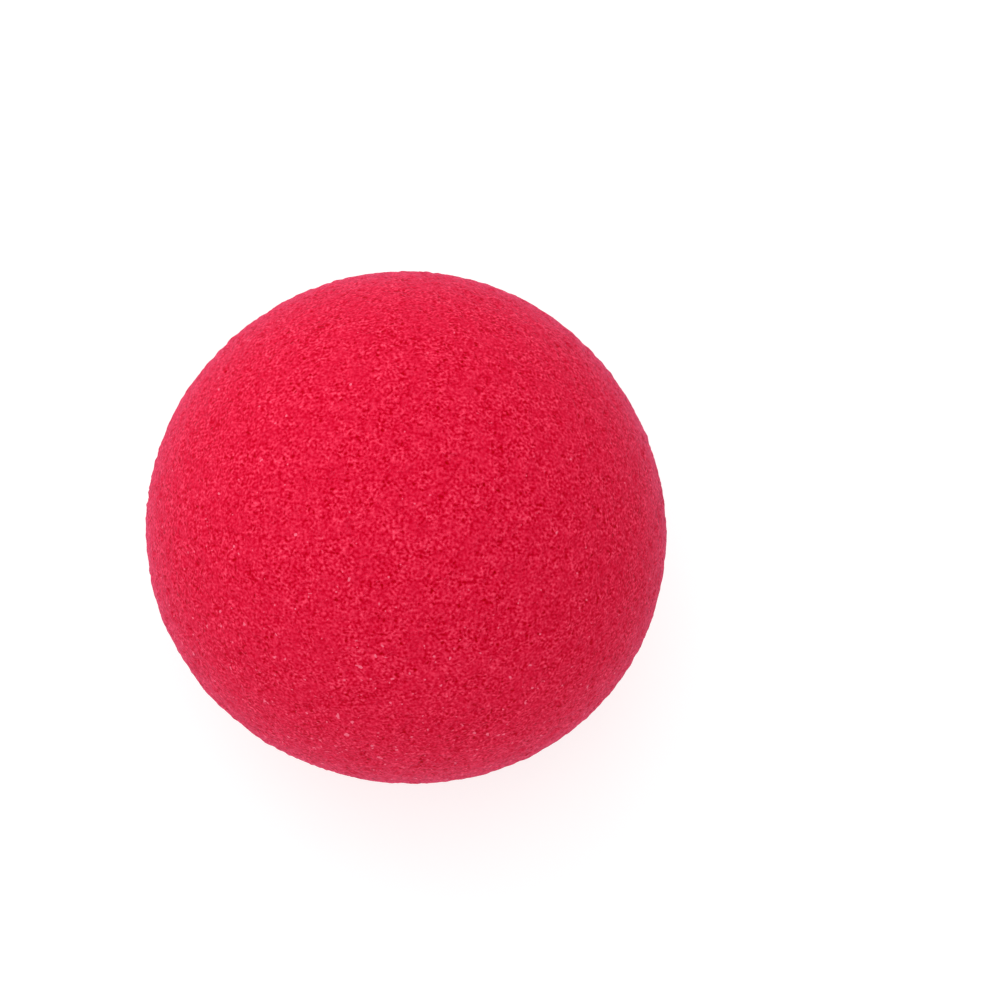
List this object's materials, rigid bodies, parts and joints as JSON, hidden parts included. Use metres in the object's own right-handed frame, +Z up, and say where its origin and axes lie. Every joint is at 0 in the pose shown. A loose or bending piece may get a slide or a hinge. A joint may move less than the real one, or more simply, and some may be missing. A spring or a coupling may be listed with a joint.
{
  "type": "clown nose",
  "caption": "Round red open-cell foam clown nose with a lens-shaped nose pocket cut into its back.",
  "frame": {"origin": "on the table, under the middle of the ball's box; the ball lies on the lips of its pocket", "axes": "+Z up, out of the front of the nose; X along the pocket's mouth; Y across the mouth"},
  "size_m": [0.0504, 0.0496, 0.0485],
  "materials": {
    "red_foam": "dry, dull open-cell sponge with fine pits and a faint pale bloom"
  },
  "bodies": {
    "root": {"foam_ball": "red_foam"}
  },
  "joints": []
}
